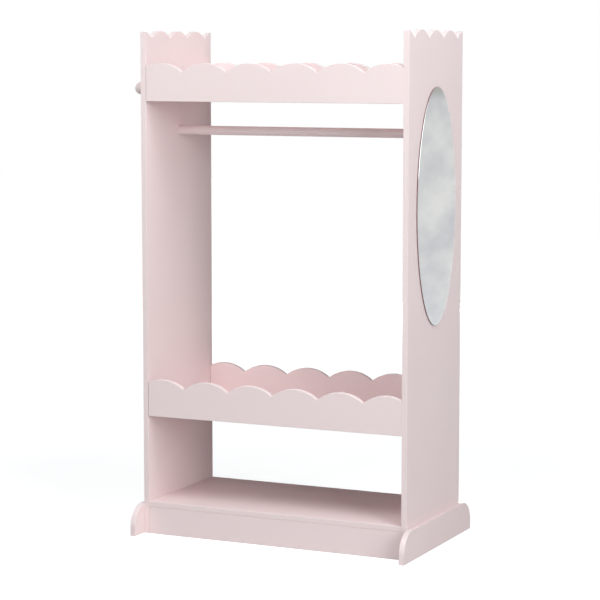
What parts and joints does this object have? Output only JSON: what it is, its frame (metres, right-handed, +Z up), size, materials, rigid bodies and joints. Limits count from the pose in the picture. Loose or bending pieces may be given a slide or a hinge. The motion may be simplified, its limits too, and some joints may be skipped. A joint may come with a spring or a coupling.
{
  "type": "children's dress-up storage unit",
  "caption": "Upright open rack with scalloped side panels and trays, a hanging rod, a bottom shelf, foot bars, side pegs and an oval mirror on one side.",
  "frame": {"origin": "middle of the footprint on the floor, footprint counted over the foot bars and the side pegs", "axes": "+Z up, front towards -Y, mirror side towards +X"},
  "size_m": [0.677, 0.389, 1.0999],
  "materials": {
    "painted_board": "satin blush pink paint on fibreboard",
    "painted_rod": "satin blush pink paint on a turned rod",
    "mirror_glass": "polished, bevelled edge",
    "foam_tape": "matt white foam",
    "fitting_metal": "bright zinc plate",
    "dowel_wood": "bare beech"
  },
  "bodies": {
    "root": {"left_side_panel": "painted_board", "right_side_panel": "painted_board", "upper_tray_floor": "painted_board", "upper_tray_front_rail": "painted_board", "upper_tray_back_rail": "painted_board", "lower_tray_floor": "painted_board", "lower_tray_front_rail": "painted_board", "lower_tray_back_rail": "painted_board", "bottom_shelf": "painted_board", "front_kick_board": "painted_board", "back_kick_board": "painted_board", "hanging_rod": "painted_rod", "left_foot_bar": "painted_board", "right_foot_bar": "painted_board", "mirror_glass": "mirror_glass", "mirror_tape": "foam_tape", "front_side_peg": "painted_board", "middle_side_peg": "painted_board", "back_side_peg": "painted_board", "peg_screws": "fitting_metal", "left_foot_screws": "fitting_metal", "right_foot_screws": "fitting_metal", "upper_tray_cam_bolts": "fitting_metal", "upper_tray_cam_locks": "fitting_metal", "upper_tray_dowels": "dowel_wood", "lower_tray_cam_bolts": "fitting_metal", "lower_tray_cam_locks": "fitting_metal", "lower_tray_dowels": "dowel_wood", "bottom_shelf_cam_bolts": "fitting_metal", "bottom_shelf_cam_locks": "fitting_metal", "bottom_shelf_dowels": "dowel_wood", "kick_board_cam_bolts": "fitting_metal", "kick_board_cam_locks": "fitting_metal", "kick_board_dowels": "dowel_wood"}
  },
  "joints": []
}
